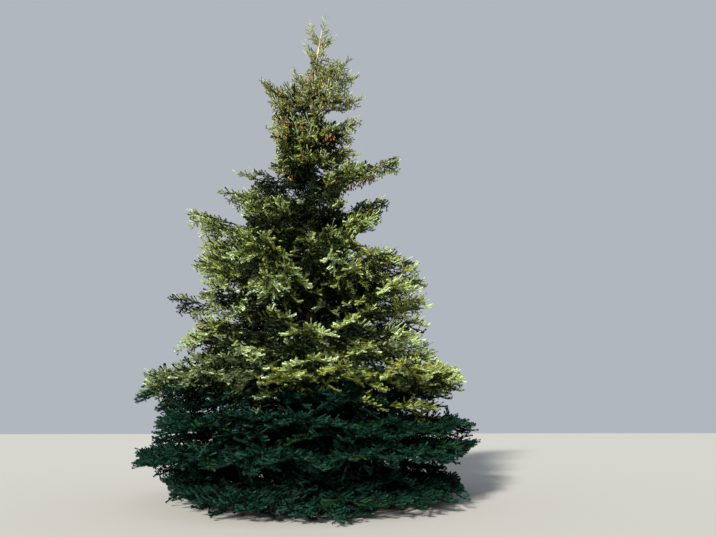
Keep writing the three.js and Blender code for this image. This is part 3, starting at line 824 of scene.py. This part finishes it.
# The leader: an upright shoot on the stem's tip, with short shoots that point up and out all round it.
LEADER_TOP = 13.8
LEADER_LEAN = 0.19
LEADER_LENGTH = 0.36
LEADER_DROOP = -0.12
NEAR_SIDE = Vector((0, -1, 0))
TURN_EACH = 137.5
EVEN_TURN = 0.8
# Turn and length of each shoot at the middle of the leader
LEADER_SHOOTS = ((30, 0.27), (150, 0.31), (265, 0.24))
# Height of each ring of arms below it, their number, length and rise
LEADER_RINGS = ((12.36, 4, 0.5, 0.5), (12.74, 5, 0.48, 0.7), (13.08, 4, 0.38, 0.95))

top = stem_middle(STEM_TOP)
leader = Vector((LEADER_LEAN, 0, LEADER_TOP - STEM_TOP))
crown.tier = len(TIERS)
chance = random.Random(19)
grow_twig(crown, chance, top - UP * 0.05, leader.normalized(), NEAR_SIDE, LEADER_LENGTH, 0.0)
for spun, length in LEADER_SHOOTS:
    lean = Vector((cos(radians(spun)), sin(radians(spun)), 0)) * 0.42 + UP
    crown.shoot(top + leader * 0.5, lean.normalized(), length, 0.5, 0.0, 0.3)
turn = 0
for height, count, length, rise in LEADER_RINGS:
    for i in range(count):
        turn += TURN_EACH + (360 / count - TURN_EACH) * EVEN_TURN
        spun = radians(turn + chance.uniform(-14, 14))
        lean = Vector((cos(spun), sin(spun), 0)) + UP * rise * chance.uniform(0.7, 1.2)
        lean.normalize()
        size = length * chance.uniform(*LENGTH_SCATTER)
        start = stem_middle(height + chance.uniform(-0.06, 0.06))
        normal = (UP - lean * lean.z).normalized()
        grow_twig(crown, chance, start, lean, normal, size, LEADER_DROOP)
        end = start + lean * size * 0.9 + UP * 0.05
        crown.shoot(end, (lean + UP * 0.7).normalized(), 0.2, 0.5, 0.0, TIP_TONE)
# The second leader, which leaves the stem below the first and bends up beside it
SECOND_FROM = 12.66
SECOND_LENGTH = 0.85
SECOND_DROOP = -0.34
second = Vector((-0.75, -0.1, 0.66)).normalized()
grow_twig(crown, chance, stem_middle(SECOND_FROM), second, NEAR_SIDE, SECOND_LENGTH, SECOND_DROOP, 0.04)

# The needles: each shoot is a slim core of needles pressed along it, with stiff needles that stand off it
# all round, a pointed face each. Colours are dealt out by spray: pale new growth at the tips, and darker,
# more olive needles inside, partly their age and partly painted shade. The skirt is dealt deep blue-green
# as painted evening shade, with painted sunlight just above it and in warm pads, and a more olive top that
# is partly painted warm sunlight.
SHOOT = 0.15
NEEDLE = 0.034
NEEDLE_WIDTH = 0.0105
PRESSED_WIDTH = 0.027
PRESSED_ENDS = ((-0.02, 0.64), (0.98, 0.32))
CORE_RADIUS = 0.021
NEEDLE_ROOT = 0.35
SHOOT_END = 1.06
PRESSED = 6
FULL_NEEDLES = 8
LIGHT_NEEDLES = 3
SHAPES = ((FULL_NEEDLES, (1, 2, 3, 4)), (LIGHT_NEEDLES, (5, 6, 7, 8)))
NEEDLE_LEAN = (62, -32)
INNER_AGE = 0.42
BEND_UP = 0.1
NEEDLE_CLEAR = 0.004
OUTSIDE = 2.5
# How far the edge of the painted shade over the skirt waves round the back, and how far it follows the tone
BACK_WAVE = 0.34
BACK_BY_TONE = 0.45
# Bounds of the band of painted sunlight above the skirt and of the painted half shade at its edge
SUNNY_TOP = 2.6
SUNNY_TONE = -0.4
SUNNY_FROM = -0.8
DUSKY_TOP = 2.9
DUSKY_BACK = 0.5
SHADY_FINISH = (0.65, 0.04)
LIT_FINISH = (0.65, 0.15)
COLOUR_SEED = 4642
CROWN_TOP = 9.0
TOP_BLUR = 1.3
ZONE_BLUR = 0.16
TONE_SHARE = 0.19
SHADE_BY_TONE = 0.14
SHADED_GREEN_TONE = 1.1
# Golden pads of painted warm sunlight, more of them right of WARM_FROM
WARM_TONE = 0.8
WARM_RIGHT = 0.7
WARM_FROM = 0.2
PIECE_FACES = 185000
# The teal colours and the shaded green are painted shade, and dusky is painted half shade; sunny and golden
# are painted sunlight, and olive partly so. Green and deep are partly the inner needles' own colour and
# partly painted shade.
NEEDLE_COLOURS = {
    "bloom": (0.33, 0.405, 0.275),
    "tip": (0.375, 0.48, 0.235),
    "fresh": (0.225, 0.285, 0.07),
    "green": (0.08, 0.105, 0.022),
    "olive": (0.25, 0.235, 0.055),
    "golden": (0.235, 0.265, 0.055),
    "deep": (0.013, 0.022, 0.009),
    "teal_tip": (0.008, 0.034, 0.0235),
    "teal": (0.004, 0.0195, 0.0125),
    "teal_deep": (0.003, 0.012, 0.009),
    "shaded_green": (0.006, 0.03, 0.009),
    "sunny": (0.225, 0.27, 0.055),
    "dusky": (0.145, 0.19, 0.08),
}
# The upper edge of the painted shade over the skirt, as the camera sees it in the upright plane through the
# trunk
SKIRT_EDGE = (
    (-4.2, 2.35), (-2.9, 2.35), (-2.3, 2.55), (-1.75, 2.4), (-1.5, 2.05), (-1, 2.05), (-0.75, 2.5), (0, 2.5),
    (1, 2.62), (1.25, 2.3), (2.2, 2.2), (2.6, 1.9), (3.1, 1.95), (3.6, 2.3), (4.2, 2.3),
)
# Upper bound of the age and painted shade, with the colour of the needles
SKIRT_DEAL = ((0.30, "teal_tip"), (0.62, "teal"), (9, "teal_deep"))
MIDDLE_DEAL = ((0.19, "tip"), (0.37, "fresh"), (0.58, "green"), (9, "deep"))
TOP_DEAL = ((0.15, "bloom"), (0.35, "fresh"), (0.64, "olive"), (0.76, "green"), (9, "deep"))
COLOUR_NAMES = list(NEEDLE_COLOURS)


def pointed_face(around, first, last, near, far, width, depth=1, twist=0):
    """A face on a shoot, from its base across one share of the shoot's line to its point at another."""
    radial = Vector((cos(around), sin(around), 0))
    across = Vector((-sin(around), cos(around), 0))
    base = radial * near * depth + Vector((0, 0, first))
    half = (across * cos(twist) + Vector((0, 0, sin(twist) / SHOOT))) * width / 2
    return [tuple(base - half), tuple(base + half), tuple(radial * far + Vector((0, 0, last)))]


def shoot_shape(needles, seed):
    """One shoot, as corners (across in metres, along as a share of its length) and faces: six broad faces
    of needles pressed along it, blunt at both ends, then single needles that stand off it."""
    chance = random.Random(seed)
    corners = []
    for i in range(PRESSED):
        first, last = PRESSED_ENDS[i % 2]
        around = radians(360 / PRESSED * i + chance.uniform(-12, 12))
        last += chance.uniform(-0.06, 0.06)
        near = CORE_RADIUS * (0.7 if i % 2 else 0.4)
        far = CORE_RADIUS * chance.uniform(0.7, 0.95)
        corners += pointed_face(around, first, last, near, far, PRESSED_WIDTH)
    for i in range(needles):
        share = 0.05 + 0.88 * (i + 0.5) / needles
        around = radians(TURN_EACH * i + chance.uniform(-18, 18))
        lean = radians(NEEDLE_LEAN[0] + NEEDLE_LEAN[1] * share + chance.uniform(-8, 8))
        size = NEEDLE * chance.uniform(0.85, 1.12)
        twist = pi / 2 + chance.uniform(-0.8, 0.8)
        last = min(share + size * cos(lean) / SHOOT, SHOOT_END)
        far = CORE_RADIUS * NEEDLE_ROOT + size * sin(lean)
        corners += pointed_face(around, share, last, CORE_RADIUS, far, NEEDLE_WIDTH, NEEDLE_ROOT, twist)
    return np.array(corners), np.arange(len(corners)).reshape(-1, 3)


def dealt(ages_and_shades, tones, places, chance):
    """The colour of each shoot, as its number in COLOUR_NAMES, with painted shade and painted sunlight dealt
    by place.
    """
    x, y, z = places.T
    outside = np.hypot(x, y) > OUTSIDE
    near = (EYE_DISTANCE + y) / EYE_DISTANCE
    # Below an uneven edge the needles are dealt the skirt's teal colours: painted evening shade.
    seen = np.interp(x / near, *np.transpose(SKIRT_EDGE))
    far = np.clip(y + 0.5, 0, 1)
    edge = EYE_HEIGHT + (seen - EYE_HEIGHT) * near + BACK_WAVE * np.sin(3 * np.arctan2(y, x) + 1) * far
    blurred = z - edge + SKIRT_TOP + (SHADE_BY_TONE + BACK_BY_TONE * far) * np.clip(tones, -1.4, 1.2)
    blurred += chance.uniform(-ZONE_BLUR, ZONE_BLUR, len(places))
    # The top is dealt more olive, partly painted warm sunlight.
    high = z + chance.uniform(-TOP_BLUR, TOP_BLUR, len(places)) >= CROWN_TOP
    felt = np.clip(ages_and_shades + TONE_SHARE * tones, 0, 2)
    lit = blurred >= SKIRT_TOP
    colours = np.zeros(len(ages_and_shades), int)
    for zone, deal in ((~lit, SKIRT_DEAL), (lit & ~high, MIDDLE_DEAL), (high, TOP_DEAL)):
        least = -1.0
        for most, name in deal:
            colours[zone & (felt > least) & (felt <= most)] = COLOUR_NAMES.index(name)
            least = most
    # Painted warm sunlight: golden pads, more of them on the right.
    warm = lit & ~high & (felt > 0.17) & (felt < 0.6) & (tones > WARM_TONE - WARM_RIGHT * (x > WARM_FROM))
    colours[warm] = COLOUR_NAMES.index("golden")
    # Painted half shade: a darker green at the skirt's edge, outside, to the left and at the back.
    dusky = lit & (blurred < DUSKY_TOP) & outside & (felt > 0.13) & (felt < 0.6)
    colours[dusky & ((x < SUNNY_FROM) | (y > DUSKY_BACK))] = COLOUR_NAMES.index("dusky")
    # Painted sunlight: a yellow-green band just above the shaded skirt, inside the crown and out on its
    # right.
    band = (blurred > SKIRT_TOP) & (blurred < SUNNY_TOP) & (felt < 1.3) & (tones > SUNNY_TONE)
    colours[band & (~outside | ((felt > 0.42) & (x > SUNNY_FROM)))] = COLOUR_NAMES.index("sunny")
    # Some pads in the skirt get a greener painted shade.
    colours[~lit & (felt < 0.8) & (tones > SHADED_GREEN_TONE)] = COLOUR_NAMES.index("shaded_green")
    return colours


def joined_mesh(name, places, corners, kinds):
    """One mesh from arrays of places, of triangles and of their materials' numbers."""
    mesh = bpy.data.meshes.new(name)
    mesh.from_pydata(np.concatenate(places), [], np.concatenate(corners))
    mesh.polygons.foreach_set("material_index", np.concatenate(kinds).astype(np.int32))
    return mesh


def needle_mesh(name, rows, shapes, chance):
    """One mesh of many shoots. Rows hold start, direction, length, thickness, age and painted shade, tone
    and tier.
    """
    ages_and_shades = rows[:, 8]
    colours = dealt(ages_and_shades, rows[:, 9], rows[:, :3], chance)
    which = np.where(ages_and_shades > INNER_AGE, len(shapes) // 2, 0) + chance.integers(0, len(shapes) // 2, len(rows))
    places, corners, kinds = [], [], []
    count = 0
    for i, (shape, faces) in enumerate(shapes):
        chosen = np.flatnonzero(which == i)
        start, along = rows[chosen, 0:3], rows[chosen, 3:6]
        length, thick = rows[chosen, 6], rows[chosen, 7]
        side = np.cross(along, (0, 0, 1.0)) + 1e-6
        side /= np.linalg.norm(side, axis=1, keepdims=True)
        over = np.cross(side, along)
        roll = chance.uniform(0, 2 * pi, len(chosen))[:, None]
        side, over = side * np.cos(roll) + over * np.sin(roll), over * np.cos(roll) - side * np.sin(roll)
        grid = start[:, None, :]
        for k, axis, size in ((0, side, thick), (1, over, thick), (2, along, length)):
            grid = grid + axis[:, None, :] * (shape[:, k] * size[:, None])[:, :, None]
        grid[:, :, 2] += BEND_UP * length[:, None] * np.maximum(shape[:, 2], 0) ** 2
        grid[:, :, 2] = np.maximum(grid[:, :, 2], NEEDLE_CLEAR)
        places.append(grid.reshape(-1, 3))
        firsts = count + np.arange(len(chosen)) * len(shape)
        corners.append((faces[None, :, :] + firsts[:, None, None]).reshape(-1, 3))
        kinds.append(np.repeat(colours[chosen], len(faces)))
        count += len(chosen) * len(shape)
    used, numbers = np.unique(np.concatenate(kinds), return_inverse=True)
    mesh = joined_mesh(name, places, corners, [numbers])
    mesh.shade_smooth()
    return mesh, [needle_materials[k] for k in used]


needle_materials = []
for name, colour in NEEDLE_COLOURS.items():
    finish = SHADY_FINISH if "teal" in name or name == "deep" else LIT_FINISH
    needle_materials.append(plain_material("needles_" + name, colour, *finish))
shoot_shapes = [shoot_shape(needles, seed) for needles, seeds in SHAPES for seed in seeds]
shoots = np.array(crown.shoots, dtype=float)
shoot_faces = PRESSED + np.where(shoots[:, 8] > INNER_AGE, LIGHT_NEEDLES, FULL_NEEDLES)
zones = [[1]]
for tier in range(2, len(TIERS) + 1):
    if shoot_faces[np.isin(shoots[:, 10], [*zones[-1], tier])].sum() > PIECE_FACES:
        zones.append([])
    zones[-1].append(tier)


def nodes_of(zone):
    """The foliage masses that the pieces of some tiers stand for."""
    nodes = [mass["node"] for mass in masses if mass["tier"] in zone]
    return nodes + ["foliage_leader"] if len(TIERS) in zone else nodes


draws = np.random.default_rng(COLOUR_SEED)
for zone in zones:
    name = f"needles_{zone[0]:02d}_{zone[-1]:02d}"
    mesh, materials = needle_mesh(name, shoots[np.isin(shoots[:, 10], zone)], shoot_shapes, draws)
    finished_piece(name, mesh, materials, nodes_of(zone))

# The wood in the foliage: limbs and twigs with thin bark, tan on young twigs and dark grey-brown on old
# ones, and bare dead twigs round the trunk, where the light no longer reaches. The old bark is partly
# darkened as painted shade.
TWIG_COLOURS = {"young": (0.2, 0.15, 0.08), "old": (0.05, 0.04, 0.03), "dead": (0.13, 0.115, 0.1)}
TWIG_FINISH = (0.85, 0.2)
DEAD_TWIGS = 300
DEAD_SEED = 77
DEAD_FROM = 0.3
DEAD_SPAN = 11.2
DEAD_LENGTHS = (0.25, 0.8)

chance = random.Random(DEAD_SEED)
for _ in range(DEAD_TWIGS):
    height = DEAD_FROM + DEAD_SPAN * chance.random()
    spun = chance.uniform(0, 2 * pi)
    radial = Vector((cos(spun), sin(spun), chance.uniform(-0.35, 0.25)))
    middle = stem_middle(height)
    length = chance.uniform(*DEAD_LENGTHS) * (1.1 - 0.06 * height)
    bend = Vector(chance.uniform(-0.12, 0.12) for _ in range(3))
    points = [middle + radial * stem_radius(height) * 0.8]
    points += [points[0] + radial * length * 0.5 + bend * length, points[0] + (radial - UP * 0.15) * length]
    crown.tier = 1 + sum(row[0] < height for row in TIERS[:-1])
    crown.limb(points, [0.006, 0.0045, 0.0018], TWIG_SIDES, "dead")
    for share in (0.45, 0.75):
        root = points[0] + (points[2] - points[0]) * share
        off = (radial * 0.7 + Vector(chance.uniform(-0.8, 0.8) for _ in range(3))).normalized()
        crown.limb([root, root + off * length * 0.35], [0.003, 0.001], TWIG_SIDES, "dead")


def tube_faces(rings, sides, scaly=False):
    """The triangles of a closed tube of rings, each second row split the other way round if it is scaly."""
    faces = []
    for i in range(rings - 1):
        for j in range(sides):
            a, b = i * sides + j, i * sides + (j + 1) % sides
            c, d = a + sides, b + sides
            faces += [(a, c, d), (a, d, b)] if scaly and i % 2 else [(a, c, b), (b, c, d)]
    last = (rings - 1) * sides
    faces += [(0, j, j + 1) for j in range(1, sides - 1)]
    faces += [(last, last + j + 1, last + j) for j in range(1, sides - 1)]
    return np.array(faces)


def wood_mesh(name, limbs):
    """One mesh of many closed tapering tubes."""
    places, corners, kinds = [], [], []
    count = 0
    for points, radii, sides, kind, _ in limbs:
        line = np.array([tuple(p) for p in points])
        ahead = np.gradient(line, axis=0)
        ahead /= np.linalg.norm(ahead, axis=1, keepdims=True)
        side = np.cross(ahead, (0.02, 0.01, 1.0))
        side /= np.linalg.norm(side, axis=1, keepdims=True)
        over = np.cross(side, ahead)
        around = (np.arange(sides) * 2 * pi / sides)[None, :, None]
        ring = side[:, None, :] * np.cos(around) + over[:, None, :] * np.sin(around)
        tube = line[:, None, :] + ring * np.array(radii)[:, None, None]
        places.append(tube.reshape(-1, 3))
        faces = tube_faces(len(line), sides)
        corners.append(faces + count)
        kinds.append(np.full(len(faces), list(TWIG_COLOURS).index(kind)))
        count += len(line) * sides
    mesh = joined_mesh(name, places, corners, kinds)
    mesh.shade_smooth()
    return mesh


twig_materials = [plain_material("twig_" + name, TWIG_COLOURS[name], *TWIG_FINISH) for name in TWIG_COLOURS]
for zone in zones:
    name = f"twigs_{zone[0]:02d}_{zone[-1]:02d}"
    mesh = wood_mesh(name, [limb for limb in crown.wood if limb[4] in zone])
    finished_piece(name, mesh, twig_materials, nodes_of(zone))

# The cones: slim hanging seed cones with papery scales, in clusters near the tips of the upper boughs.
# Each is a spindle whose rings are turned by half a scale, so that its faces lie like scales.
CONE_COLOURS = {"rusty": (0.215, 0.1, 0.024), "tan": (0.31, 0.205, 0.052), "shaded": (0.105, 0.056, 0.018)}
CONE_FINISH = (0.7, 0.25)
CONE_SEED = 303
CONE_LENGTH = 0.082
CONE_RADIUS = 0.016
CONE_TIERS = range(10, 15)
CONE_ARM_TIER = 11
CONE_ARM_SHARES = (0.27, 0.33, 0.39, 0.45, 0.51, 0.57, 0.63)
CLUSTER_CHANCE = 0.75
CLUSTER_PLACES = (0.45, 0.8)
CLUSTER_CONES = (18, 30)
CLUSTER_SPREAD = (0.2, 0.16)
CLUSTER_DROP = (0.08, 0.34)
CONE_RINGS = ((0, 0.3), (0.2, 0.95), (0.5, 1), (0.78, 0.7), (1, 0.2))
CONE_SIDES = 5

cone_corners = []
for i, (down, wide) in enumerate(CONE_RINGS):
    for j in range(CONE_SIDES):
        around = 2 * pi * (j + 0.5 * (i % 2)) / CONE_SIDES
        cone_corners.append((cos(around) * wide * CONE_RADIUS, sin(around) * wide * CONE_RADIUS,
                             -down * CONE_LENGTH))
cone_corners = np.array(cone_corners)
cone_faces = tube_faces(len(CONE_RINGS), CONE_SIDES, scaly=True)
chance = random.Random(CONE_SEED)
places, corners, kinds = [], [], []
clusters = []
for mass in [mass for mass in masses if mass["tier"] in CONE_TIERS]:
    for arm in ARMS:
        line = short_of_opening(bough_line(mass, *arm, True))
        if line and chance.random() < CLUSTER_CHANCE:
            clusters.append((line, chance.uniform(*CLUSTER_PLACES)))
        if line and (mass["tier"], mass["k"], arm) == (CONE_ARM_TIER, 0, ARMS[0]):
            clusters += [(line, share) for share in CONE_ARM_SHARES]
for line, part in clusters:
    ahead = (line(part + 2 * NUDGE) - line(part)).normalized()
    side = ahead.cross(UP).normalized()
    hue = chance.choice((0, 0, 1, 2))
    for _ in range(chance.randint(*CLUSTER_CONES)):
        spot = line(part) + ahead * chance.uniform(-1, 1) * CLUSTER_SPREAD[0]
        spot += side * chance.uniform(-1, 1) * CLUSTER_SPREAD[1] - UP * chance.uniform(*CLUSTER_DROP)
        axis = Vector((chance.uniform(-1, 1), chance.uniform(-1, 1), 0.01)).normalized()
        tilt = Quaternion(axis, radians(chance.uniform(0, 26))).to_matrix()
        size = chance.uniform(0.85, 1.2)
        corners.append(cone_faces + len(places) * len(cone_corners))
        places.append(cone_corners @ np.array(tilt).T * size + np.array(spot))
        kinds.append(np.full(len(cone_faces), hue if chance.random() < 0.7 else chance.randint(0, 2)))
cone_mesh = joined_mesh("cones", places, corners, kinds)
cone_materials = [plain_material("cone_" + name, CONE_COLOURS[name], *CONE_FINISH) for name in CONE_COLOURS]
finished_piece("cones", cone_mesh, cone_materials)
